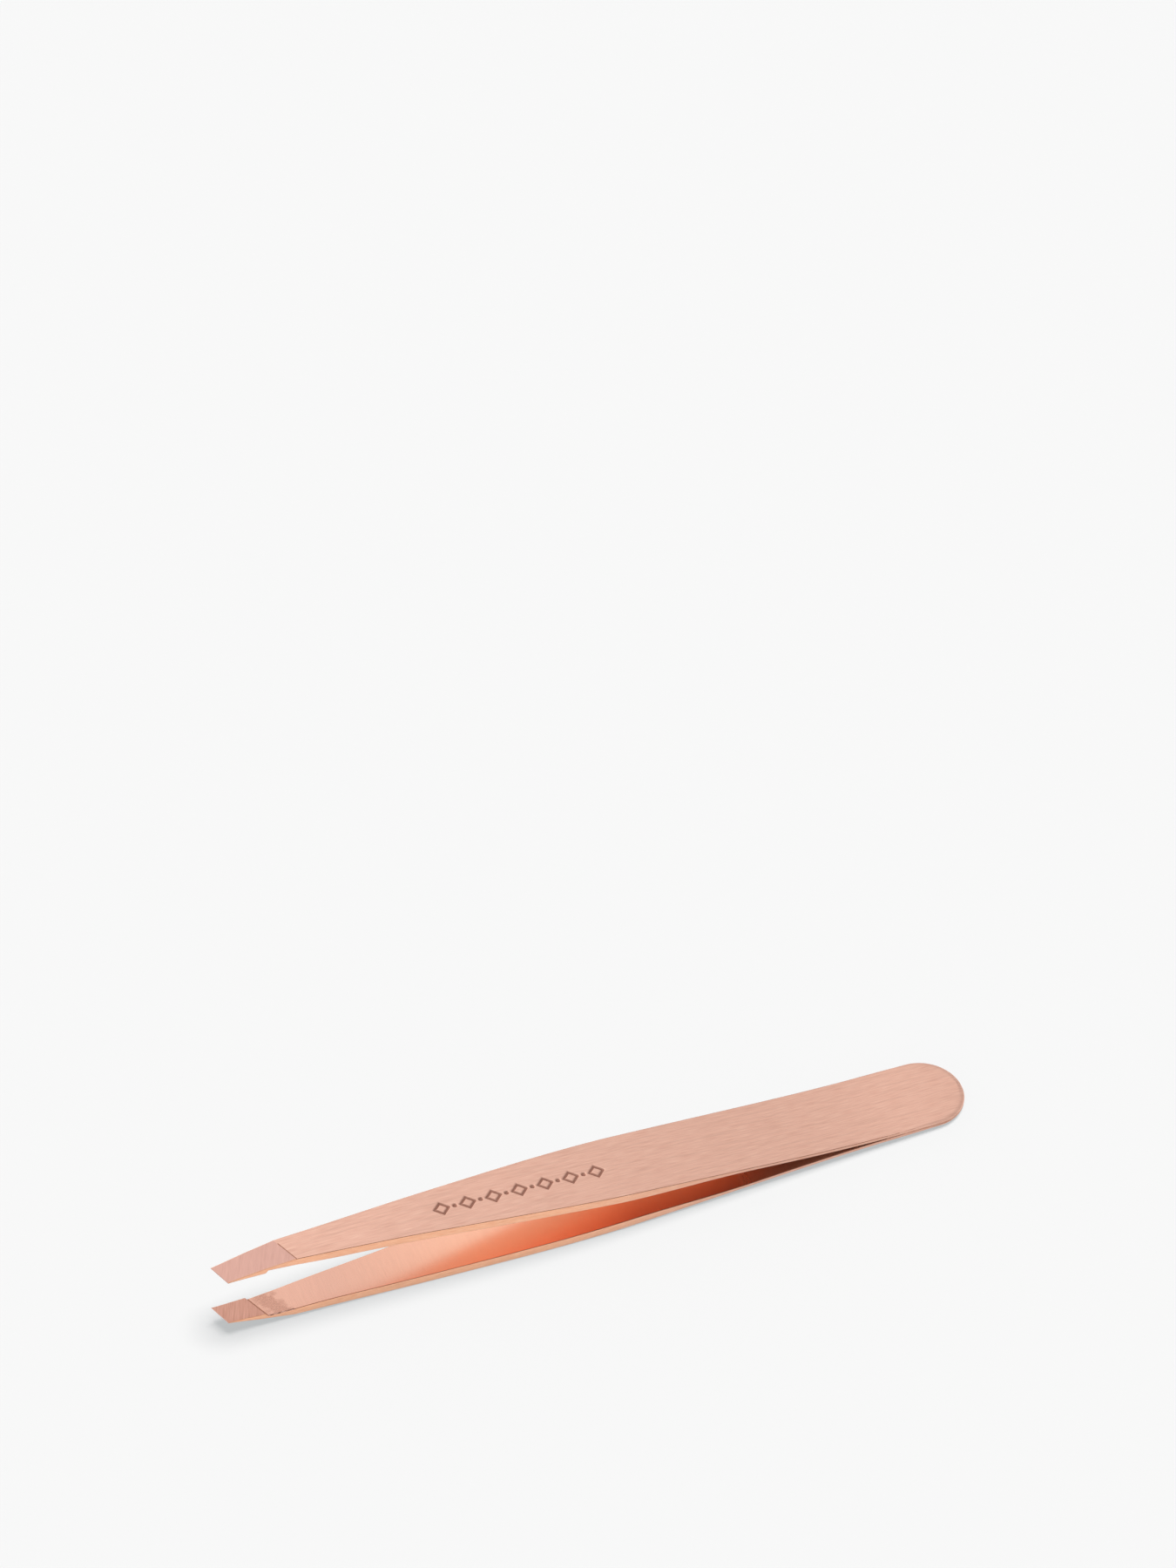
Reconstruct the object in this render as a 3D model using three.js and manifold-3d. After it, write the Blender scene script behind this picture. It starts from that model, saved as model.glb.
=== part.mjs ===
// Slant tweezers: two mirrored steel arms, welded together at the heel.
//
// Each arm is one strip of steel with a thin heel leaf, a thin spring leaf that bends, and a
// thick blade. The three stretches are separate solids here, so that the blade can swing.
// Lengths are millimetres. An arm is drawn in its own frame: the station s runs from the round
// heel end to the tip, y runs across, and z is the height over the plane between the arms.
// The finished pair lies on a surface at z = 0, with the heel towards +X and the tips raised.

import * as THREE from 'three';
import { mergeVertices } from 'three/addons/utils/BufferGeometryUtils.js';
import Module from 'manifold-3d';

const wasm = await Module();
wasm.setup();

// ---- Driving dimensions ----

const LENGTH = 96;                 // heel end to the long corner of the tip
const HEEL_RADIUS = 5.05;          // the heel end is a full half round
const HEEL_HEIGHT = 0.5;           // outer face of a heel leaf over the middle plane
const HEEL_FLAT_END = 10;          // the leaves lie flat on each other up to here
const HEEL_SLIT = 0.1;             // hairline between the two heel leaves

// Plan outline: how the half width falls from the heel to the tip, as two smooth stretches.
const SHOULDER = [46, 4.68];       // station and half width where the two stretches meet
const TIP_HALF_WIDTH = 1.4;
const PLAN_GRIP = [[HEEL_RADIUS, HEEL_RADIUS], [20, 5], [36, 4.8], SHOULDER];
const PLAN_TAPER = [SHOULDER, [60, 4.27], [76, 2.23], [LENGTH, TIP_HALF_WIDTH]];

// Side view: the outer face of an arm bows gently away from the middle plane. The lower arm
// lies on the surface on the flat from REST_START to REST_END, in line with the heel end.
const REST_SLOPE = 0.056;
const REST_START = 60;
const REST_END = 70;
const restPoint = (s) => [s, HEEL_HEIGHT + REST_SLOPE * s];
const BEVEL_BACK = [87.5, 4.94];   // the outer bevel of the tip begins here
const OUTER_RISE = [[HEEL_FLAT_END, HEEL_HEIGHT], [22, HEEL_HEIGHT], restPoint(37), restPoint(REST_START)];
const OUTER_BOW = [restPoint(REST_END), restPoint(75), [81, 4.79], BEVEL_BACK];

const LEAF_THICKNESS = 0.47;       // spring leaf
const BLADE_THICKNESS = 1.2;
const RAMP_START = 30;             // the inner face steps out from leaf to blade over this stretch
const RAMP_END = 47;

// Tip.
const TIP_SLANT = 22;              // degrees, the tip edge against straight across
const BEVEL_SLANT = 24;            // degrees, the back line of the outer bevel
const TIP_CENTRE = 95.42;          // where the slanted tip edge crosses the centre line
const TIP_GAP = 3.5;               // half the opening between the two tip edges
const TIP_EDGE = 0.12;             // thickness left at the tip edge
const BEVEL_MIDDLE = [91.4, 4.38]; // the bevel turns steeper here
const PAD_BACK = [91.1, 3.65];     // back edge of the gripping pad, on the centre line
const PAD_SLANT = 25;
const RELIEF_FRONT = 4.07;         // behind the pad the inner face is ground away to this height
const RELIEF_BACK = [82.1, 3.58];  // the ground slope starts here, just under the inner face

// Where each arm is split, and how far its parts stay apart.
const HEEL_END = 12;
const SPRING_END = 34;
const PART_GAP = 0.3;

// Weld nuggets between the heel leaves.
const NUGGET_RADIUS = 1.5;
const NUGGET_HEIGHT = 0.3;
const NUGGET_STATIONS = { weld_nugget_rear: 3.6, weld_nugget_front: 8 };
const POCKET_CLEARANCE = 0.05;

const MIDDLE = LENGTH / 2;
const MARGIN = 3;                  // how far cutting tools reach past the arm

// ---- Curves ----

const point = ([s, value]) => new THREE.Vector2(s, value);

const curvePoints = (corners, steps) => {
  return new THREE.CubicBezierCurve(...corners.map(point)).getPoints(steps);
};

// Outer face of an arm in side view, from the heel end to the back of the bevel.
const outerFace = [
  new THREE.Vector2(-MARGIN, HEEL_HEIGHT),
  ...curvePoints(OUTER_RISE, 20),
  ...curvePoints(OUTER_BOW, 8),
];

const thicknessAt = (s) => {
  const ramp = THREE.MathUtils.smoothstep(s, RAMP_START, RAMP_END);
  return THREE.MathUtils.lerp(LEAF_THICKNESS, BLADE_THICKNESS, ramp);
};

// ---- Solids ----

const toSolid = (geometry) => {
  geometry.deleteAttribute('normal');
  geometry.deleteAttribute('uv');
  const merged = mergeVertices(geometry, 1e-5);
  const mesh = new wasm.Mesh({
    numProp: 3,
    vertProperties: new Float32Array(merged.attributes.position.array),
    triVerts: new Uint32Array(merged.index.array),
  });
  return new wasm.Manifold(mesh);
};

const toGeometry = (solid) => {
  const mesh = solid.getMesh();
  const geometry = new THREE.BufferGeometry();
  geometry.setAttribute('position', new THREE.BufferAttribute(mesh.vertProperties, 3));
  geometry.setIndex(new THREE.BufferAttribute(mesh.triVerts, 1));
  geometry.computeVertexNormals();
  return geometry;
};

// A side-view outline (points of station and height) carried right across an arm. side is 1 for
// the upper arm and -1 for the lower one, and slant turns the solid about the vertical at pivot.
const acrossArm = (points, side, slant = 0, pivot = 0) => {
  const shape = new THREE.Shape(points.map((p) => new THREE.Vector2(pivot - p.x, side * p.y)));
  const geometry = new THREE.ExtrudeGeometry(shape, { depth: 4 * HEEL_RADIUS, bevelEnabled: false });
  geometry.rotateX(Math.PI / 2);
  geometry.translate(0, 2 * HEEL_RADIUS, 0);
  geometry.rotateZ(THREE.MathUtils.degToRad(slant));
  geometry.translate(MIDDLE - pivot, 0, 0);
  return toSolid(geometry);
};

const slab = (start, end) => {
  const geometry = new THREE.BoxGeometry(end - start, 4 * HEEL_RADIUS, 4 * HEEL_RADIUS);
  geometry.translate(MIDDLE - (start + end) / 2, 0, 0);
  return toSolid(geometry);
};

// The flat outline seen from above: round heel, tapering sides and the slanted tip.
const planOutline = () => {
  const slope = Math.tan(THREE.MathUtils.degToRad(TIP_SLANT));
  const round = new THREE.Path().absarc(HEEL_RADIUS, 0, HEEL_RADIUS, 1.5 * Math.PI, Math.PI / 2, true);
  const heel = round.getPoints(16);
  const side = [...curvePoints(PLAN_GRIP, 10), ...curvePoints(PLAN_TAPER, 16).slice(1)];
  const tipCut = (sign) => side.filter((p) => p.x < TIP_CENTRE + sign * p.y * slope).slice(1);
  const corner = (sign) => {
    const s = TIP_CENTRE + sign * TIP_HALF_WIDTH * slope;
    return new THREE.Vector2(s, sign * TIP_HALF_WIDTH);
  };
  return [
    ...heel,
    ...tipCut(1),
    corner(1),
    corner(-1),
    ...tipCut(-1).reverse().map((p) => new THREE.Vector2(p.x, -p.y)),
  ];
};

const planSolid = () => {
  const shape = new THREE.Shape(planOutline().map((p) => new THREE.Vector2(MIDDLE - p.x, p.y)));
  const geometry = new THREE.ExtrudeGeometry(shape, { depth: 4 * HEEL_RADIUS, bevelEnabled: false });
  geometry.translate(0, 0, -2 * HEEL_RADIUS);
  return toSolid(geometry);
};

// Side view of one arm, between its outer and inner faces.
const sideSolid = (side) => {
  const inner = outerFace.map((p) => {
    const gap = p.x <= HEEL_FLAT_END ? 0 : p.y - thicknessAt(p.x);
    return new THREE.Vector2(p.x, Math.max(gap, HEEL_SLIT / 2));
  });
  const end = LENGTH + MARGIN;
  const tip = [[end, BEVEL_BACK[1]], [end, TIP_GAP], [TIP_CENTRE, TIP_GAP], PAD_BACK].map(point);
  const outline = [...outerFace, ...tip, ...inner.reverse()];
  return acrossArm(outline, side);
};

// Everything above the two flats of the outer bevel.
const bevelCutter = (side) => {
  const [back, height] = BEVEL_BACK;
  const slope = (BEVEL_MIDDLE[1] - TIP_GAP - TIP_EDGE) / (TIP_CENTRE - BEVEL_MIDDLE[0]);
  const end = TIP_CENTRE + MARGIN;
  const outline = [
    BEVEL_BACK,
    BEVEL_MIDDLE,
    [end, TIP_GAP + TIP_EDGE - MARGIN * slope],
    [end, 2 * height],
    [back, 2 * height],
  ];
  return acrossArm(outline.map(point), side, BEVEL_SLANT, back);
};

// The long ground slope that ends at the back of the gripping pad.
const reliefCutter = (side) => {
  const back = PAD_BACK[0];
  const outline = [[back, 0], [back, RELIEF_FRONT], RELIEF_BACK, [RELIEF_BACK[0], 0]];
  return acrossArm(outline.map(point), side, PAD_SLANT, back);
};

const disc = (radius, height, s) => {
  const geometry = new THREE.CylinderGeometry(radius, radius, height, 24);
  geometry.rotateX(Math.PI / 2);
  geometry.translate(MIDDLE - s, 0, 0);
  return geometry;
};

const weldPocket = (s) => {
  return toSolid(disc(NUGGET_RADIUS + POCKET_CLEARANCE, NUGGET_HEIGHT + 2 * POCKET_CLEARANCE, s));
};

const armSolids = (side) => {
  const whole = planSolid()
    .intersect(sideSolid(side))
    .subtract(bevelCutter(side))
    .subtract(reliefCutter(side));
  let heel = whole.intersect(slab(-MARGIN, HEEL_END));
  for (const s of Object.values(NUGGET_STATIONS)) heel = heel.subtract(weldPocket(s));
  return {
    heel,
    spring: whole.intersect(slab(HEEL_END + PART_GAP, SPRING_END - PART_GAP)),
    blade: whole.intersect(slab(SPRING_END, LENGTH + MARGIN)),
  };
};

// ---- Materials and meshes ----

const coatedSteel = () => new THREE.MeshStandardMaterial({ color: 0xe0a890, roughness: 0.32, metalness: 1 });
const weldSteel = () => new THREE.MeshStandardMaterial({ color: 0x9a938c, roughness: 0.55, metalness: 1 });

const named = (name, geometry, material) => {
  const mesh = new THREE.Mesh(geometry, material);
  mesh.name = name;
  return mesh;
};

const tweezers = new THREE.Group();

for (const [label, side] of [['upper', 1], ['lower', -1]]) {
  for (const [stretch, solid] of Object.entries(armSolids(side))) {
    tweezers.add(named(`${label}_${stretch}`, toGeometry(solid), coatedSteel()));
  }
}

for (const [name, s] of Object.entries(NUGGET_STATIONS)) {
  tweezers.add(named(name, disc(NUGGET_RADIUS, NUGGET_HEIGHT, s), weldSteel()));
}

// Lying down, the pair touches the surface at its heel end and along the flat of the lower arm.
tweezers.rotation.y = Math.atan(REST_SLOPE);

const part = new THREE.Group();
part.add(tweezers);
const box = new THREE.Box3().setFromObject(part, true);
const centre = box.getCenter(new THREE.Vector3());
tweezers.position.set(-centre.x, -centre.y, -box.min.z);

export default part;
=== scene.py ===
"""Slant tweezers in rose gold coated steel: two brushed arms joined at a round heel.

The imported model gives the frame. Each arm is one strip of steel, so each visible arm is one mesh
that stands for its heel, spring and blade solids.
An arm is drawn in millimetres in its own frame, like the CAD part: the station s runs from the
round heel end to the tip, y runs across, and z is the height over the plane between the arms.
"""

import math

import bpy
import numpy as np
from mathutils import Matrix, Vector

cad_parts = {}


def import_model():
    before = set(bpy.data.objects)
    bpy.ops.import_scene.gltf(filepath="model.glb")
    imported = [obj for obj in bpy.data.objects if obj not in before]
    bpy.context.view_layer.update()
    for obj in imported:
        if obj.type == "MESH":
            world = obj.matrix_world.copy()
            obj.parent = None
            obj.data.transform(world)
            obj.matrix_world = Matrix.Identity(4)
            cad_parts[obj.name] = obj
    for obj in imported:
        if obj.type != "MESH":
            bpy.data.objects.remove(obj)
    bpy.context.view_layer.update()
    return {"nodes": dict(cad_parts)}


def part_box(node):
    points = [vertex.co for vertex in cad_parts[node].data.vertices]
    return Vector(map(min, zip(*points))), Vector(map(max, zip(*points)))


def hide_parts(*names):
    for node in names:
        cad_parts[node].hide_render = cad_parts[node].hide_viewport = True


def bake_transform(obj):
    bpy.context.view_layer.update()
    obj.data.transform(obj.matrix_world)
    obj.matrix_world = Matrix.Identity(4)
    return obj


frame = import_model()

MM = 0.001

# ---- Driving dimensions, the same as the CAD part's ----

LENGTH = 96.0
HEEL_RADIUS = 5.05
HEEL_HEIGHT = 0.5
HEEL_FLAT_END = 10.0
HEEL_SLIT = 0.03  # only a hairline shows between the two leaves
PLAN_GRIP = ((HEEL_RADIUS, HEEL_RADIUS), (20, 5), (36, 4.8), (46, 4.68))
PLAN_TAPER = ((46, 4.68), (60, 4.27), (76, 2.23), (LENGTH, 1.4))
REST_SLOPE = 0.056
LEAF_THICKNESS = 0.47
BLADE_THICKNESS = 1.2
RAMP = (30.0, 47.0)  # the inner face steps out from leaf to blade over this stretch
BEVEL_BACK = (87.5, 4.94)
BEVEL_MIDDLE = (91.4, 4.38)
TIP_CENTRE = 95.42
TIP_GAP = 3.5
TIP_EDGE = 0.12
TIP_SLANT = 22.0
BEVEL_SLANT = 24.0
PAD_SLANT = 25.0
PAD_BACK = (91.1, 3.65)
RELIEF_LENGTH = 9.0
RELIEF_DEPTH = 0.42

# ---- Fine shape, which only this script has ----

OUTER_ROUND = 0.08  # corner between outer face and edge
HEEL_ROUND = 0.3  # the same corner round the heel end, which is softly rounded over
HEEL_SPREAD = 1.7  # how many times wider than deep that rounding is
HEEL_FADE = (3, 12)  # it fades into the plain corner over this stretch
INNER_ROUND = 0.07
EDGE_CROWN = 0.03  # how much the edge bulges
FACE_CROWN = 0.03  # how much the outer face falls towards its long sides
FACE_CROWN_POWER = 4  # the fall lies near the sides
FACE_CROWN_FADE = (80, BEVEL_BACK[0])  # and it fades out before the flat bevel
SLANT_START = 70.0  # from here on the cross lines lean over more and more
RELIEF_POWER = 1.5  # the ground hollow deepens faster towards the pad
STEP_RUN = 0.3  # the back of the pad leans by this much
STEP = PAD_BACK[0] - STEP_RUN  # foot of that leaning step
CREVICE = 0.18  # width of the painted shade line at the foot of the step
BURR_BACK = 87.6  # a burr, drawn as painted shade and painted highlights, runs along the near side from here to the step
BURR_SHARE = -0.91  # and this far in from the near side
CREASE = 0.13  # width of the painted shade line along the crease at the back of the bevel
CREASE_SHARE = 0.7  # which stops short of the far side
LINE_START = 12.0  # painted shade lines run along the near corners from here to the bevel and the burr

# Stamped motif on the upper arm: open lozenges with a dot between each pair.
MOTIF = (47.3, 69.3)
LOZENGES = 7
LOZENGE_HALF = (1.2, 1.12)
LOZENGE_LINE = 0.22  # half the width of a stamped line
DOT_RADIUS = 0.34
STAMP_DEPTH = 0.15
STAMP_WALL = 0.15


def rest_point(s):
    """A point of the straight line that the lower arm rests on."""
    return (s, HEEL_HEIGHT + REST_SLOPE * s)


OUTER_RISE = ((HEEL_FLAT_END, HEEL_HEIGHT), (22, HEEL_HEIGHT), rest_point(37), rest_point(60))
OUTER_BOW = (rest_point(70), rest_point(75), (81, 4.79), BEVEL_BACK)


# ---- Profiles ----


def bezier(corners, count=200):
    a, b, c, d = (np.array(p, float) for p in corners)
    t = np.linspace(0, 1, count + 1)[:, None]
    return (1 - t) ** 3 * a + 3 * (1 - t) ** 2 * t * b + 3 * (1 - t) * t**2 * c + t**3 * d


def smooth(x, low, high):
    t = np.clip((x - low) / (high - low), 0, 1)
    return t * t * (3 - 2 * t)


PLAN_CURVE = np.vstack([bezier(PLAN_GRIP), bezier(PLAN_TAPER)[1:]])
OUTER_CURVE = np.vstack([[(0, HEEL_HEIGHT)], bezier(OUTER_RISE), bezier(OUTER_BOW)])


def half_width(s):
    """Half width of the strip beyond the round heel end."""
    return np.interp(s, PLAN_CURVE[:, 0], PLAN_CURVE[:, 1])


def slant_at(station):
    """Slope of the cross lines, which lean over towards the tip."""
    knots = [SLANT_START, BEVEL_BACK[0], PAD_BACK[0], TIP_CENTRE]
    angles = [0, BEVEL_SLANT, PAD_SLANT, TIP_SLANT]
    return np.interp(station, knots, np.tan(np.radians(angles)))


def outer_height(s, station):
    """Outer face over the middle plane. The bevel follows the slanted cross lines."""
    bow = np.interp(s, OUTER_CURVE[:, 0], OUTER_CURVE[:, 1])
    knots = [BEVEL_BACK[0], BEVEL_MIDDLE[0], TIP_CENTRE]
    bevel = np.interp(station, knots, [BEVEL_BACK[1], BEVEL_MIDDLE[1], TIP_GAP + TIP_EDGE])
    return np.where(station > BEVEL_BACK[0], bevel, bow)


def inner_height(s, station):
    """Inner face over the middle plane, with the ground hollow and the raised gripping pad."""
    thickness = LEAF_THICKNESS + (BLADE_THICKNESS - LEAF_THICKNESS) * smooth(s, *RAMP)
    bow = np.interp(s, OUTER_CURVE[:, 0], OUTER_CURVE[:, 1]) - thickness
    gap = np.where(s <= HEEL_FLAT_END, HEEL_SLIT / 2, np.maximum(bow, HEEL_SLIT / 2))
    back, face = PAD_BACK
    knots = [BEVEL_BACK[0], back]
    blade_end = np.interp(station, knots, [BEVEL_BACK[1] - BLADE_THICKNESS, face])
    gap = np.where(station > BEVEL_BACK[0], blade_end, gap)
    ground = np.clip((station - back) / RELIEF_LENGTH + 1, 0, 1)
    hollow = RELIEF_DEPTH * ground**RELIEF_POWER
    pad = np.interp(station, [back, TIP_CENTRE], [face, TIP_GAP])
    rise = np.interp(station, [STEP, back], [0, 1])
    return (gap + hollow) * (1 - rise) + pad * rise


def stamp_depth(s, y):
    """Depth of the stamped lozenges and dots at a point of the outer face."""
    a, b = LOZENGE_HALF
    pitch = (MOTIF[1] - MOTIF[0] - 2 * a) / (LOZENGES - 1)
    place = (s - MOTIF[0] - a) / pitch
    lozenge = np.clip(np.round(place), 0, LOZENGES - 1)
    along = np.abs(place - lozenge) * pitch
    outward = (along / a + np.abs(y) / b - 1) * a * b / math.hypot(a, b)
    line = np.abs(outward + LOZENGE_LINE) - LOZENGE_LINE
    gap = np.clip(np.floor(place), 0, LOZENGES - 2) + 0.5
    dot = np.hypot((place - gap) * pitch, y) - DOT_RADIUS
    return STAMP_DEPTH * (1 - smooth(np.minimum(line, dot), -STAMP_WALL, 0))


# ---- Grid of an arm: cross lines at stations, and long lines at shares of the width ----

HEEL_STEPS = 24  # cross lines on the round heel end
PITCH = 0.8  # between cross lines on the plain stretches
MOTIF_PITCH = 0.075
RELIEF_PITCH = 0.25
BEVEL_PITCH = 0.12
PAD_PITCH = 0.16
MOTIF_MARGIN = 0.4
RELIEF_START = 84.0
TIP_BORDER = 0.1  # width of the last row of cells

MIDDLE_SHARE = 0.42  # the stamp lies between this share and its opposite
MIDDLE_LINES = 8
MOTIF_LINES = 58
SIDE_LINES = 12
SIDE_SHARE = 0.985  # share of the long line next to the border

OUTER_CORNER = 4  # bands of the edge that make up the corner next to the outer face
WALL = 5
INNER_CORNER = 3
OUTER_CORNER_LIMIT = 0.6  # most of the thickness that each may take
INNER_CORNER_LIMIT = 0.3
EDGE_CROWN_LIMIT = 0.1

SETTLE_ROUNDS = 8  # to find where a slanted cross line meets the curved side

# 'line' cells are painted shade along corners and creases; 'burr' cells are a burr painted as dark
# shade and bright highlights
AREAS = ("brushed", "bevel", "line", "edge", "inner", "pad", "burr")


def stations(motif):
    """Stations of the cross lines, close together where there is fine shape."""
    turn = np.linspace(0, math.pi / 2, HEEL_STEPS + 1)
    motif_start, motif_end = MOTIF[0] - MOTIF_MARGIN, MOTIF[1] + MOTIF_MARGIN
    spans = [  # from, to and pitch
        (HEEL_RADIUS, motif_start, PITCH),
        (motif_start, motif_end, MOTIF_PITCH if motif else PITCH),
        (motif_end, RELIEF_START, PITCH),
        (RELIEF_START, BEVEL_BACK[0] - CREASE, RELIEF_PITCH),
        (BEVEL_BACK[0] - CREASE, BEVEL_BACK[0], CREASE),
        (BEVEL_BACK[0], STEP, BEVEL_PITCH),
        (STEP, PAD_BACK[0], STEP_RUN),
        (PAD_BACK[0], TIP_CENTRE - TIP_BORDER, PAD_PITCH),
        (TIP_CENTRE - TIP_BORDER, TIP_CENTRE, TIP_BORDER),
    ]
    rows = [HEEL_RADIUS * (1 - np.cos(turn))]
    for low, high, pitch in spans:
        count = max(1, round((high - low) / pitch))
        rows.append(np.linspace(low, high, count + 1)[1:])
    return np.concatenate(rows)


def shares(motif):
    """Places of the long lines across a face, from -1 at the near side to 1 at the far side."""
    side = np.append(np.linspace(MIDDLE_SHARE, SIDE_SHARE, SIDE_LINES), 1)
    count = MOTIF_LINES if motif else MIDDLE_LINES
    middle = np.linspace(-MIDDLE_SHARE, MIDDLE_SHARE, count)[1:-1]
    return np.concatenate([-side[::-1], middle, side])


def edge_profile(rows, thickness):
    """Insets from the outline and depths below the outer face, ring by ring round the edge."""
    heel = 1 - smooth(rows, *HEEL_FADE)
    outer = OUTER_ROUND + (HEEL_ROUND - OUTER_ROUND) * heel
    outer = np.minimum(outer, OUTER_CORNER_LIMIT * thickness)
    spread = outer * (1 + (HEEL_SPREAD - 1) * heel)
    inner = np.minimum(INNER_ROUND, INNER_CORNER_LIMIT * thickness)
    crown = np.minimum(EDGE_CROWN, EDGE_CROWN_LIMIT * thickness)
    rings = []
    for turn in np.linspace(0, math.pi / 2, OUTER_CORNER + 1):
        rings.append((crown + spread * (1 - math.sin(turn)), outer * (1 - math.cos(turn))))
    for share in np.arange(1, WALL) / WALL:
        depth = outer + (thickness - inner - outer) * share
        rings.append((crown * (2 * share - 1) ** 2, depth))
    for turn in np.linspace(0, math.pi / 2, INNER_CORNER + 1):
        depth = thickness - inner * (1 - math.sin(turn))
        rings.append((crown + inner * (1 - math.cos(turn)), depth))
    return rings


def side_points(rows, side, inset):
    """Where the cross lines meet one side of the outline, drawn in by inset."""
    station = rows.copy()
    station[-1] -= inset[-1]
    slant = slant_at(station)
    y = np.zeros_like(rows)
    for _ in range(SETTLE_ROUNDS):
        y = side * (half_width(station + slant * y) - inset)
    s = station + slant * y
    heel = slice(0, HEEL_STEPS + 1)
    turn = np.linspace(0, math.pi / 2, HEEL_STEPS + 1)
    s[heel] = HEEL_RADIUS - (HEEL_RADIUS - inset[heel]) * np.cos(turn)
    y[heel] = side * (HEEL_RADIUS - inset[heel]) * np.sin(turn)
    return np.stack([s, y], axis=1)


def face_crown(station, share):
    """How far the outer face falls towards its sides. The ground bevel is flat."""
    return FACE_CROWN * np.abs(share) ** FACE_CROWN_POWER * (1 - smooth(station, *FACE_CROWN_FADE))


def edge_rings(rows, across):
    """Points of the rings round the edge, and their depths below the outer face.

    A ring runs from the heel end along the near side, across the tip and back on the far side.
    """

    def all_round(side_values):
        tip = np.full(len(across) - 2, side_values[-1])
        return np.concatenate([side_values, tip, side_values[:0:-1]])

    thickness = outer_height(rows, rows) - inner_height(rows, rows)
    station = all_round(rows)
    share = ((across[1:-1] + 1) / 2)[:, None]
    rings, depths = [], []
    for inset, depth in edge_profile(rows, thickness):
        near = side_points(rows, -1, inset)
        far = side_points(rows, 1, inset)
        tip = near[-1] + (far[-1] - near[-1]) * share
        plan = np.concatenate([near, tip, far[:0:-1]])
        top = outer_height(plan[:, 0], station) - face_crown(station, 1)
        bottom = inner_height(plan[:, 0], station)
        z = top + (bottom - top) * all_round(depth / thickness)
        rings.append(np.column_stack([plan, z]))
        depths.append(all_round(depth))
    return rings, depths


def grid_numbers(last, width, loop, base, first_inside):
    """Point numbers of one face: its border is a ring, and its inside points come after."""
    numbers = np.zeros((last + 1, width + 1), int)
    numbers[:, 0] = base + np.arange(last + 1)
    numbers[last, :] = base + last + np.arange(width + 1)
    numbers[1:, width] = base + loop - np.arange(1, last + 1)
    numbers[0, :] = base
    inside = (last - 1) * (width - 1)
    numbers[1:-1, 1:-1] = first_inside + np.arange(inside).reshape(last - 1, width - 1)
    return numbers


def inside_plan(ring, rows, across):
    """Plan places of a face's inside points, with their stations and shares."""
    last = len(rows) - 1
    near = ring[1:last, None, :2]
    far = ring[: -last : -1, None, :2]
    share = across[None, 1:-1, None]
    plan = near + (far - near) * (share + 1) / 2
    station, share = np.broadcast_arrays(rows[1:-1, None], across[None, 1:-1])
    return plan[..., 0].ravel(), plan[..., 1].ravel(), station.ravel(), share.ravel()


# ---- Cells of an arm, and the area that each belongs to ----


def cells(numbers):
    corners = (numbers[:-1, :-1], numbers[:-1, 1:], numbers[1:, 1:], numbers[1:, :-1])
    return np.stack(corners, axis=-1).reshape(-1, 4)


def cell_middles(rows, across):
    """Station and share of each cell of a face."""
    middles = [(lines[1:] + lines[:-1]) / 2 for lines in (rows, across)]
    station, share = np.meshgrid(*middles, indexing="ij")
    return station.ravel(), share.ravel()


def outer_areas(rows, across):
    station, share = cell_middles(rows, across)
    areas = np.where(station > BEVEL_BACK[0], "bevel", "brushed")
    # a painted shade line along the crease at the back of the bevel, short of the far side
    crease = (station > BEVEL_BACK[0] - CREASE) & (station < BEVEL_BACK[0])
    return np.where(crease & (share < CREASE_SHARE), "line", areas)


def inner_areas(rows, across):
    station, share = cell_middles(rows, across)
    # a painted shade line at the foot of the step, and the painted burr along the near side
    crevice = station > STEP - CREVICE
    areas = np.where(station > PAD_BACK[0], "pad", np.where(crevice, "line", "inner"))
    burr = (station > BURR_BACK) & (station < STEP) & (share < BURR_SHARE)
    return np.where(burr, "burr", areas)


def wall_areas(rows, loop, band):
    """Area of each cell of one band round the edge, from the heel along the near side."""
    side = len(rows) - 1
    place = np.arange(loop)
    near = place < side
    tip = ~near & (place < loop - side)
    station = rows[np.where(near, place, loop - np.maximum(place, loop - side))]
    # the near corners get painted shade lines, and the inner corner the painted burr
    lined = near & (station > LINE_START)
    if band < OUTER_CORNER:
        line = lined & (station < BEVEL_BACK[0]) & (band < OUTER_CORNER / 2)
        areas = np.where(line, "line", np.where(station < HEEL_FLAT_END, "brushed", "edge"))
    elif band >= OUTER_CORNER + WALL:
        painted_burr_cells = near & (station > BURR_BACK) & (station < STEP)
        line = lined & (station < BURR_BACK) & (band > OUTER_CORNER + WALL)
        areas = np.where(painted_burr_cells, "burr", np.where(line, "line", "edge"))
    else:
        areas = np.full(loop, "edge")
    return np.where(tip, "bevel", areas)


def wall_cells(rows, ring_count, loop):
    """Cells of the edge between its rings, and their areas."""
    here = np.arange(loop)
    onward = (here + 1) % loop
    band_cells = np.stack([here, onward, onward + loop, here + loop], axis=1)
    bands = range(ring_count - 1)
    corners = np.concatenate([band_cells + band * loop for band in bands])
    return corners, np.concatenate([wall_areas(rows, loop, band) for band in bands])


def edge_grain(rings, depths):
    """Grain map of the ring points: the way along the edge from the heel end, and the depth."""
    travel = np.linalg.norm(np.diff(rings[0][:, :2], axis=0), axis=1)
    along = np.concatenate([[0], np.cumsum(travel)])
    along = np.minimum(along, along[-1] - along)
    return np.concatenate([np.column_stack([along, depth]) for depth in depths])


# ---- From the arm's own frame to the model's ----

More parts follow.
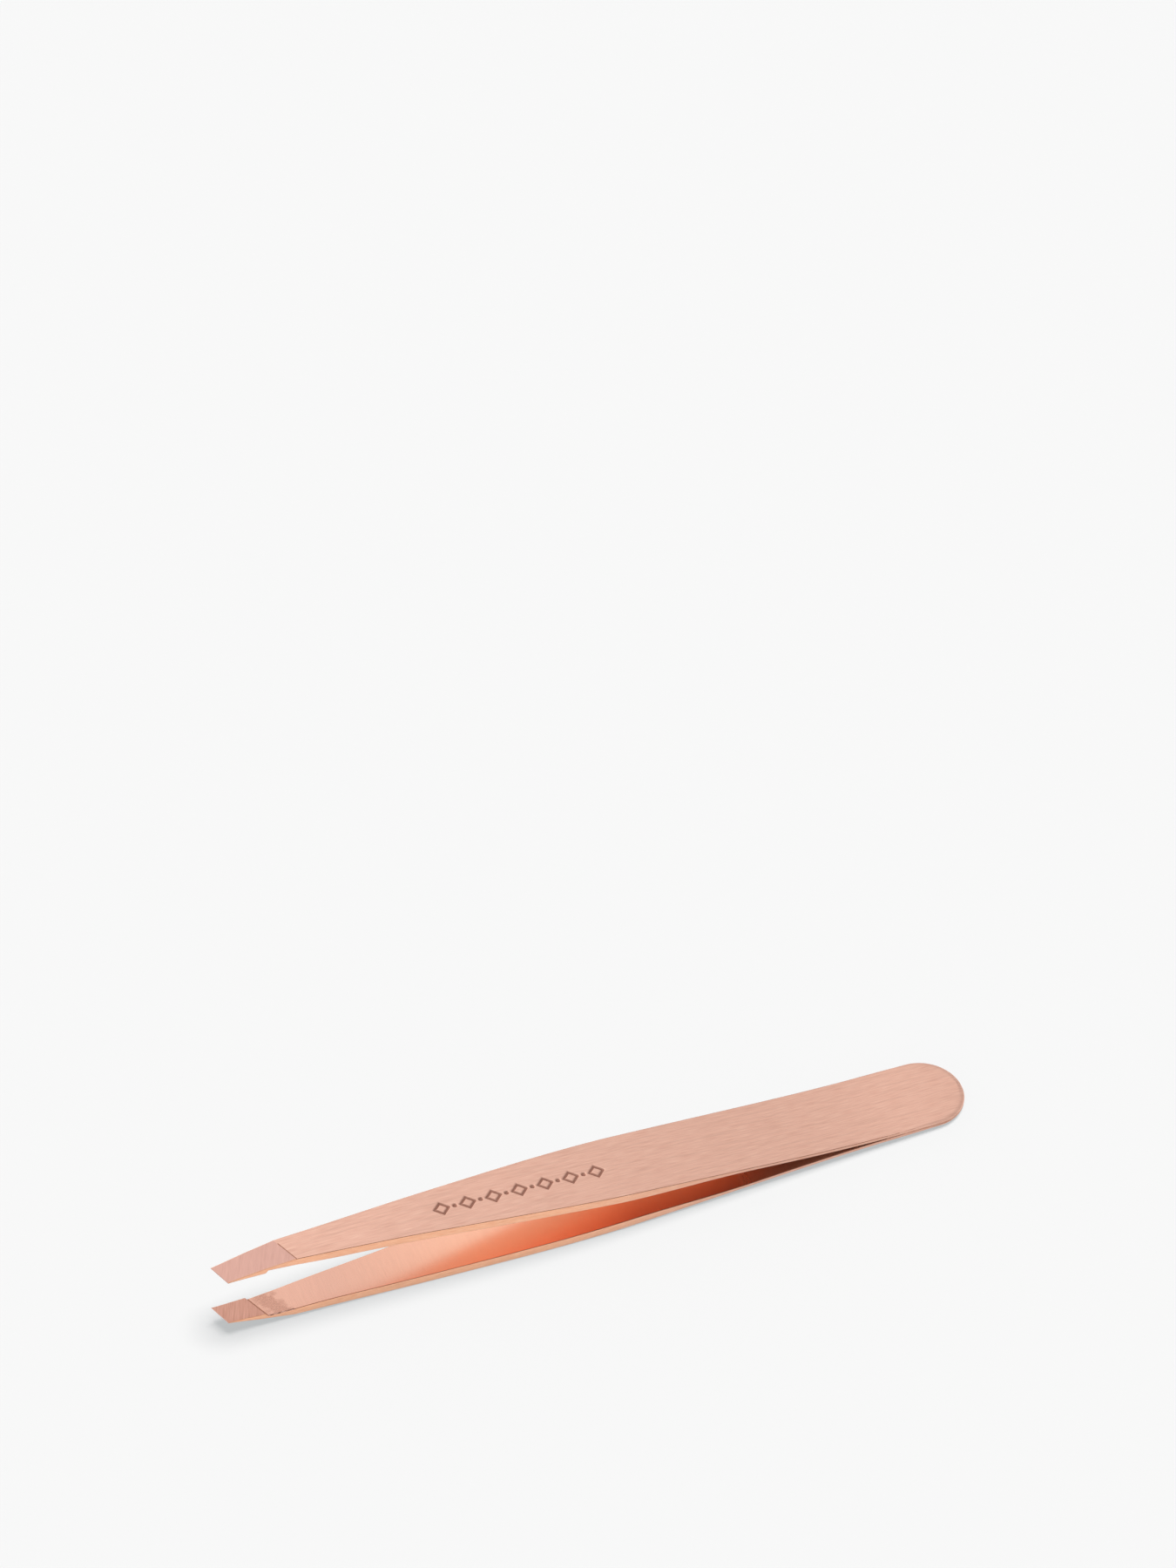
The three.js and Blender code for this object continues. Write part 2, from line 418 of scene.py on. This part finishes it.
TILT = math.atan(REST_SLOPE)
LIFT = LENGTH / 2 * math.sin(TILT) + HEEL_HEIGHT * math.cos(TILT)
HEEL_REACH = LENGTH / 2 * math.cos(TILT) + HEEL_HEIGHT * math.sin(TILT)
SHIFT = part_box("upper_heel")[1].x / MM - HEEL_REACH


def to_frame(s, y, z):
    x = LENGTH / 2 - s
    along = x * math.cos(TILT) + z * math.sin(TILT) + SHIFT
    up = -x * math.sin(TILT) + z * math.cos(TILT) + LIFT
    return (along * MM, y * MM, up * MM)


# ---- Arm mesh ----


def row_at(rows, station):
    return int(np.argmin(np.abs(rows - station)))


def mark_sharp(mesh, creases):
    """Keeps the shading crisp along the given lines of points."""
    ends = np.empty(2 * len(mesh.edges), np.int32)
    mesh.edges.foreach_get("vertices", ends)
    ends = ends.reshape(-1, 2)
    sharp = np.zeros(len(ends), bool)
    for crease in creases:
        sharp |= np.isin(ends, crease).all(axis=1)
    mesh.edges.foreach_set("use_edge_sharp", sharp)


def link_new(name, data):
    thing = bpy.data.objects.new(name, data)
    bpy.context.scene.collection.objects.link(thing)
    return thing


def mesh_from(name, points, faces, areas, grain):
    """A smooth mesh whose faces index a material slot by area, with a grain map in millimetres."""
    mesh = bpy.data.meshes.new(name)
    mesh.from_pydata(points, [], faces)
    mesh.polygons.foreach_set("material_index", [AREAS.index(area) for area in areas])
    mesh.polygons.foreach_set("use_smooth", [True] * len(faces))
    mesh.uv_layers.new(name="grain").data.foreach_set("uv", grain.astype(np.float32).ravel())
    return mesh


def arm_mesh(name, side):
    """One arm: side is 1 for the upper arm and -1 for the lower one."""
    motif = side == 1
    rows, across = stations(motif), shares(motif)
    last, width = len(rows) - 1, len(across) - 1
    rings, depths = edge_rings(rows, across)
    loop = len(rings[0])
    ring_points = len(rings) * loop

    s, y, station, share = inside_plan(rings[0], rows, across)
    stamp = stamp_depth(s, y) if motif else np.zeros_like(s)
    outer = np.column_stack([s, y, outer_height(s, station) - face_crown(station, share) - stamp])
    outer_grid = grid_numbers(last, width, loop, 0, ring_points)
    s, y, station, share = inside_plan(rings[-1], rows, across)
    inner = np.column_stack([s, y, inner_height(s, station)])
    inner_grid = grid_numbers(last, width, loop, ring_points - loop, ring_points + len(outer))
    points = np.concatenate([*rings, outer, inner])

    wall, wall_area = wall_cells(rows, len(rings), loop)
    corners = np.concatenate([cells(outer_grid), cells(inner_grid)[:, ::-1], wall])
    areas = np.concatenate([outer_areas(rows, across), inner_areas(rows, across), wall_area])
    if side == -1:
        corners = corners[:, ::-1]
    # The cells at the heel end have two corners in one point, so they become triangles.
    faces = [list(dict.fromkeys(cell)) for cell in corners.tolist()]
    flat = np.concatenate([np.array(face) for face in faces])

    # The faces and the rounded heel share one brushed grain, and the edge has its own.
    on_wall = np.arange(len(faces)) >= len(faces) - len(wall)
    own_grain = np.repeat(on_wall & (areas != "brushed"), [len(face) for face in faces])
    grain = points[flat, :2]
    grain[own_grain] = edge_grain(rings, depths)[flat[own_grain]]

    placed = [to_frame(s, y, side * z) for s, y, z in points.tolist()]
    mesh = mesh_from(name, placed, faces, areas, grain)
    stamped = np.zeros(len(points), np.float32)
    stamped[ring_points : ring_points + len(outer)] = stamp / STAMP_DEPTH
    mesh.attributes.new("stamped", "FLOAT", "POINT").data.foreach_set("value", stamped)
    creases = [outer_grid[row_at(rows, BEVEL_BACK[0])]]
    creases += [inner_grid[row_at(rows, line)] for line in (STEP, PAD_BACK[0])]
    mark_sharp(mesh, creases)
    mesh.update()
    return link_new(name, mesh)


# ---- Material building blocks ----

MIX_FIRST, MIX_SECOND, MIX_RESULT = 6, 7, 2  # the colour sockets of a Mix node
WELD_SPECKS = 4000.0  # specks across the box of a weld nugget


def new_material(name):
    material = bpy.data.materials.new(name)
    material.use_nodes = True
    tree = material.node_tree
    shader = tree.nodes["Principled BSDF"]
    shader.inputs["Metallic"].default_value = 1.0
    return material, tree, shader


def grain_map(tree):
    grain = tree.nodes.new("ShaderNodeUVMap")
    grain.uv_map = "grain"
    return grain.outputs["UV"]


def noise(tree, size, detail=3.0, turn=0.0, offset=0.0):
    """Noise on the grain map, with marks of the given length and width in millimetres."""
    spin = tree.nodes.new("ShaderNodeMapping")
    spin.inputs["Rotation"].default_value = (0, 0, math.radians(turn))
    spin.inputs["Location"].default_value = (offset, offset, 0)
    stretch = tree.nodes.new("ShaderNodeMapping")
    stretch.inputs["Scale"].default_value = (1 / size[0], 1 / size[1], 1)
    texture = tree.nodes.new("ShaderNodeTexNoise")
    texture.inputs["Scale"].default_value = 1.0
    texture.inputs["Detail"].default_value = detail
    tree.links.new(grain_map(tree), spin.inputs["Vector"])
    tree.links.new(spin.outputs["Vector"], stretch.inputs["Vector"])
    tree.links.new(stretch.outputs["Vector"], texture.inputs["Vector"])
    return texture.outputs["Fac"]


def between(tree, value, low, high, start=0.3, end=0.7):
    """A number that goes from low to high while the value goes from start to end."""
    spread = tree.nodes.new("ShaderNodeMapRange")
    spread.inputs["From Min"].default_value = start
    spread.inputs["From Max"].default_value = end
    spread.inputs["To Min"].default_value = low
    spread.inputs["To Max"].default_value = high
    tree.links.new(value, spread.inputs["Value"])
    return spread.outputs["Result"]


def along_arm(tree, first, last, start, end):
    """A number that is first at the station start and last at the station end."""
    split = tree.nodes.new("ShaderNodeSeparateXYZ")
    tree.links.new(grain_map(tree), split.inputs["Vector"])
    return between(tree, split.outputs["X"], first, last, start, end)


def combine(tree, operation, first, second):
    """One number made of two, by an operation such as ADD."""
    node = tree.nodes.new("ShaderNodeMath")
    node.operation = operation
    tree.links.new(first, node.inputs[0])
    tree.links.new(second, node.inputs[1])
    return node.outputs[0]


def blend_colours(tree, value, first, second, start=0.3, end=0.7):
    """A colour that goes from the first to the second while the value goes from start to end."""
    ramp = tree.nodes.new("ShaderNodeValToRGB")
    ramp.color_ramp.elements[0].position = start
    ramp.color_ramp.elements[0].color = (*first, 1)
    ramp.color_ramp.elements[1].position = end
    ramp.color_ramp.elements[1].color = (*second, 1)
    tree.links.new(value, ramp.inputs["Fac"])
    return ramp.outputs["Color"]


def multiply(tree, colour, target):
    """Puts a colour on a shader's input, through a node that multiplies it by another."""
    node = tree.nodes.new("ShaderNodeMix")
    node.data_type = "RGBA"
    node.blend_type = "MULTIPLY"
    node.inputs["Factor"].default_value = 1.0
    tree.links.new(colour, node.inputs[MIX_FIRST])
    tree.links.new(node.outputs[MIX_RESULT], target)
    return node


def bump(tree, height, shader, depth):
    """Marks of the given depth, in millimetres."""
    node = tree.nodes.new("ShaderNodeBump")
    node.inputs["Strength"].default_value = 1.0
    node.inputs["Distance"].default_value = depth * MM
    tree.links.new(height, node.inputs["Height"])
    tree.links.new(node.outputs["Normal"], shader.inputs["Normal"])


def steel(name, dark, light, rough, size, depth, turn=0.0, streak=0.92):
    """Coated steel with ground or brushed marks in one direction, and wider, darker streaks.

    The marks have the given length and width, depth and turn from lengthwise. The roughness is
    the first number in the streaks and the second off them, and streak is their darkest shade.
    """
    material, tree, shader = new_material(name)
    marks = noise(tree, size, 4.0, turn)
    broad = noise(tree, (size[0] * 3, size[1] * 4), 3.0, turn, 7.0)
    colour = blend_colours(tree, marks, dark, light)
    streaks = blend_colours(tree, broad, (streak, streak, streak), (1, 1, 1), 0.28, 0.55)
    shade = multiply(tree, colour, shader.inputs["Base Color"])
    tree.links.new(streaks, shade.inputs[MIX_SECOND])
    tree.links.new(between(tree, broad, *rough), shader.inputs["Roughness"])
    bump(tree, marks, shader, depth)
    return material


def tint(material, amount, colour):
    """Multiplies a material's colour by another, by the given amount."""
    tree = material.node_tree
    target = tree.nodes["Principled BSDF"].inputs["Base Color"]
    mix = multiply(tree, target.links[0].from_socket, target)
    mix.inputs[MIX_SECOND].default_value = (*colour, 1)
    tree.links.new(amount, mix.inputs["Factor"])
    return mix


def tint_along(material, full, none, colour):
    """Tints a material fully at one station and not at all at another."""
    tint(material, along_arm(material.node_tree, 1, 0, full, none), colour)


def roughen_along(material, full, none, extra):
    """Makes a material rougher at one station and leaves it as it is at another."""
    tree = material.node_tree
    target = tree.nodes["Principled BSDF"].inputs["Roughness"]
    more = along_arm(tree, extra, 0, full, none)
    tree.links.new(combine(tree, "ADD", target.links[0].from_socket, more), target)


# ---- Materials ----

PATCH_BACK = (87.7, 88.5)  # the patch that was ground by hand fades in over this stretch
PATCH_FRONT = (90.0, 90.8)  # and fades out over this one
PATCH_WANDER = 0.7  # how far its borders stray
PATCH_LEFT = 0.25  # what is left of it in front


def ground_patch(tree):
    """Where the hollow behind the pad was ground by hand: 1 on the patch and 0 off it."""
    station = tree.nodes.new("ShaderNodeVectorMath")
    station.operation = "DOT_PRODUCT"
    station.inputs[1].default_value = (1, -math.tan(math.radians(PAD_SLANT)), 0)
    tree.links.new(grain_map(tree), station.inputs[0])
    wander = between(tree, noise(tree, (0.9, 0.9), 4.0), -PATCH_WANDER, PATCH_WANDER)
    ragged = combine(tree, "ADD", station.outputs["Value"], wander)
    rise = between(tree, ragged, 0, 1, *PATCH_BACK)
    fall = between(tree, ragged, 1, PATCH_LEFT, *PATCH_FRONT)
    return combine(tree, "MULTIPLY", rise, fall)


def add_ground_patch(material):
    """Darkens and mottles the ground patch of the inner face."""
    tree = material.node_tree
    mix = tint(material, ground_patch(tree), (1, 1, 1))
    speckle = noise(tree, (0.16, 0.16), 3.0)
    tone = blend_colours(tree, speckle, (0.66, 0.61, 0.59), (0.90, 0.86, 0.85))
    tree.links.new(tone, mix.inputs[MIX_SECOND])


def paint_stamp_shade(material):
    """Painted shade in the stamped marks: they are tinted duller and browner than the face."""
    tree = material.node_tree
    stamped = tree.nodes.new("ShaderNodeAttribute")
    stamped.attribute_name = "stamped"
    amount = between(tree, stamped.outputs["Fac"], 0, 1, 0.1, 0.9)
    tint(material, amount, (0.46, 0.375, 0.355))


def brushed_steel():
    """Outer faces, brushed lengthwise."""
    brushed = steel(
        "brushed_rose_gold",
        dark=(0.86, 0.475, 0.365),
        light=(1.0, 0.63, 0.495),
        rough=(0.44, 0.33),
        size=(2.0, 0.085),
        depth=0.004,
    )
    paint_stamp_shade(brushed)
    return brushed


def bevel_steel():
    """Outer bevel at the tip, with a fine cross grain."""
    return steel(
        "bevel_rose_gold",
        dark=(0.72, 0.415, 0.345),
        light=(0.80, 0.475, 0.395),
        rough=(0.48, 0.40),
        size=(1.5, 0.07),
        depth=0.004,
        turn=66,
        streak=0.95,
    )


def shade_line_steel():
    """Painted shade: dark lines along corners and creases."""
    return steel(
        "shade_line_rose_gold",
        dark=(0.36, 0.16, 0.11),
        light=(0.52, 0.25, 0.17),
        rough=(0.40, 0.30),
        size=(3, 0.08),
        depth=0.002,
    )


def edge_steel():
    """Edges, smoother and more orange, with painted shade that dulls them towards the heel."""
    edge = steel(
        "edge_rose_gold",
        dark=(0.90, 0.43, 0.255),
        light=(1.0, 0.57, 0.37),
        rough=(0.36, 0.26),
        size=(1.2, 0.12),
        depth=0.004,
    )
    # painted shade: duller towards the heel, where the near edges reflect the shadowed floor
    tint_along(edge, full=30, none=58, colour=(0.76, 0.82, 0.98))
    return edge


def inner_steel():
    """Inner faces, nearly polished and rough on the spring leaf, with painted shade that makes them
    paler and dimmer near the tip and less red along the spring.
    """
    inner = steel(
        "inner_rose_gold",
        dark=(0.97, 0.51, 0.355),
        light=(1.0, 0.55, 0.385),
        rough=(0.26, 0.23),
        size=(1.5, 0.07),
        depth=0.0012,
        turn=90,
        streak=0.98,
    )
    # painted shade: tones down the glow reflected near the tip
    tint_along(inner, full=82, none=64, colour=(0.82, 0.865, 0.95))
    # painted shade: takes red out where reflections between the leaves gather
    tint_along(inner, full=28, none=60, colour=(0.85, 0.95, 1.0))
    roughen_along(inner, full=20, none=32, extra=0.2)
    add_ground_patch(inner)
    return inner


def pad_steel():
    """Gripping pads, ground across."""
    return steel(
        "pad_rose_gold",
        dark=(0.64, 0.32, 0.235),
        light=(0.84, 0.47, 0.37),
        rough=(0.46, 0.38),
        size=(3, 0.09),
        depth=0.006,
        turn=67,
        streak=0.93,
    )


def painted_burr_steel():
    """A ragged burr drawn only in colour: its dark pits are painted shade and its bright specks
    painted highlights.
    """
    return steel(
        "painted_burr_rose_gold",
        dark=(0.16, 0.05, 0.03),
        light=(1.0, 0.62, 0.50),
        rough=(0.50, 0.30),
        size=(0.4, 0.4),
        depth=0.010,
    )


def weld_material():
    material, tree, shader = new_material("weld_steel")
    specks = tree.nodes.new("ShaderNodeTexNoise")
    specks.inputs["Scale"].default_value = WELD_SPECKS
    marks = specks.outputs["Fac"]
    colour = blend_colours(tree, marks, (0.2, 0.17, 0.15), (0.4, 0.36, 0.33))
    tree.links.new(colour, shader.inputs["Base Color"])
    tree.links.new(between(tree, marks, 0.4, 0.65), shader.inputs["Roughness"])
    bump(tree, marks, shader, 0.02)
    return material


# ---- The tweezers ----

materials = {
    "brushed": brushed_steel(),
    "bevel": bevel_steel(),
    "line": shade_line_steel(),
    "edge": edge_steel(),
    "inner": inner_steel(),
    "pad": pad_steel(),
    "burr": painted_burr_steel(),
}
for label, side in (("upper", 1), ("lower", -1)):
    arm = arm_mesh(f"{label}_arm", side)
    for area in AREAS:
        arm.data.materials.append(materials[area])
    arm.visible_diffuse = False  # the arms cast a shadow, but no coloured glow, on the floor
    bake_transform(arm)
    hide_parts(f"{label}_heel", f"{label}_spring", f"{label}_blade")

weld = weld_material()
for nugget in ("weld_nugget_rear", "weld_nugget_front"):
    slots = frame["nodes"][nugget].data.materials
    slots.clear()
    slots.append(weld)

# ---- Floor, lights and camera ----

FLOOR_REACH = 6.0  # metres from the middle to each side
FLOOR_GAP = 0.01 * MM  # keeps the floor clear of the flat that lies on it
PAPER = 0.80  # share of the light that the floor sends back

GLOW_AZIMUTH = -150
GLOW_ELEVATION = 50
GLOW_RANGE = (0.52, 0.95)  # the glow grows while the cosine to its middle goes through this
SHADE = 0.64  # what the steel reflects from the camera's side of the room
GLOW = 0.46  # how much brighter the pale wall behind the object is
FILL = 0.65  # light of the room on the paper
FILL_COLOUR = (0.96, 0.99, 1.0)
KEY_COLOUR = (1.0, 0.968, 0.953)
BACKDROP = 0.93  # the paper runs on past the floor in the same tone

CAMERA_AZIMUTH = -23.03
CAMERA_ELEVATION = 50.16
CAMERA_DISTANCE = 0.5  # metres from the middle of the object
CAMERA_LENS = 96.41  # mm
AIM_ACROSS = 0.21  # degrees that the aim is turned off the object, which lies low in the frame
AIM_UP = 5.49


def direction(azimuth, elevation):
    """Unit vector from the object. Azimuth 0 is on the -Y side and 90 on the +X side."""
    a, e = math.radians(azimuth), math.radians(elevation)
    return Vector((math.sin(a) * math.cos(e), -math.cos(a) * math.cos(e), math.sin(e)))


def facing(vector):
    """Rotation of a lamp or camera that looks against the given vector."""
    return vector.to_track_quat("Z", "Y").to_euler()


def floor():
    mesh = bpy.data.meshes.new("floor")
    corners = [(-1, -1, 0), (1, -1, 0), (1, 1, 0), (-1, 1, 0)]
    mesh.from_pydata([Vector(corner) * FLOOR_REACH for corner in corners], [], [(0, 1, 2, 3)])
    plane = link_new("floor", mesh)
    plane.location.z = -FLOOR_GAP
    material = bpy.data.materials.new("floor_paper")
    material.use_nodes = True
    shader = material.node_tree.nodes["Principled BSDF"]
    shader.inputs["Base Color"].default_value = (PAPER, PAPER, PAPER, 1)
    shader.inputs["Roughness"].default_value = 0.9
    shader.inputs["Specular IOR Level"].default_value = 0.0
    mesh.materials.append(material)


def key_light(azimuth, elevation, spread, strength):
    """A wide overhead softbox that lights the paper. It doesn't show as a spot in the steel."""
    light = bpy.data.lights.new("key", "SUN")
    light.angle = math.radians(spread)
    light.energy = strength
    light.color = KEY_COLOUR
    thing = link_new("key", light)
    thing.rotation_euler = facing(direction(azimuth, elevation))
    thing.visible_glossy = False


def background(tree, colour, strength):
    node = tree.nodes.new("ShaderNodeBackground")
    node.inputs["Color"].default_value = (*colour, 1)
    node.inputs["Strength"].default_value = strength
    return node


def pick(tree, ray, first, second):
    """The second shader for the given kind of ray, and the first for every other."""
    path = tree.nodes.new("ShaderNodeLightPath")
    mix = tree.nodes.new("ShaderNodeMixShader")
    tree.links.new(path.outputs[ray], mix.inputs["Fac"])
    tree.links.new(first.outputs[0], mix.inputs[1])
    tree.links.new(second.outputs[0], mix.inputs[2])
    return mix


def world():
    """A pale room: dim towards the camera, and bright high up behind the object."""
    made = bpy.data.worlds.new("studio")
    made.use_nodes = True
    tree = made.node_tree
    tree.nodes.remove(tree.nodes["Background"])
    place = tree.nodes.new("ShaderNodeTexCoord")
    nearness = tree.nodes.new("ShaderNodeVectorMath")
    nearness.operation = "DOT_PRODUCT"
    nearness.inputs[1].default_value = direction(GLOW_AZIMUTH, GLOW_ELEVATION)
    tree.links.new(place.outputs["Generated"], nearness.inputs[0])
    glow = between(tree, nearness.outputs["Value"], SHADE, SHADE + GLOW, *GLOW_RANGE)
    glow.node.interpolation_type = "SMOOTHSTEP"
    reflected = background(tree, (1, 1, 1), SHADE)
    tree.links.new(glow, reflected.inputs["Strength"])
    fill = background(tree, FILL_COLOUR, FILL)
    backdrop = background(tree, (1, 1, 1), BACKDROP)
    lighting = pick(tree, "Is Diffuse Ray", reflected, fill)
    seen = pick(tree, "Is Camera Ray", lighting, backdrop)
    tree.links.new(seen.outputs[0], tree.nodes["World Output"].inputs["Surface"])
    bpy.context.scene.world = made


def camera():
    data = bpy.data.cameras.new("camera")
    data.lens = CAMERA_LENS
    data.clip_start = 0.01
    data.clip_end = 50
    thing = link_new("camera", data)
    middle = Vector((0, 0, LIFT * MM))
    thing.location = middle + direction(CAMERA_AZIMUTH, CAMERA_ELEVATION) * CAMERA_DISTANCE
    thing.rotation_euler = facing(direction(CAMERA_AZIMUTH + AIM_ACROSS, CAMERA_ELEVATION - AIM_UP))
    bpy.context.scene.camera = thing


floor()
world()
key_light(azimuth=90, elevation=78, spread=34, strength=1.74)
camera()
bpy.context.scene.view_settings.view_transform = "Standard"
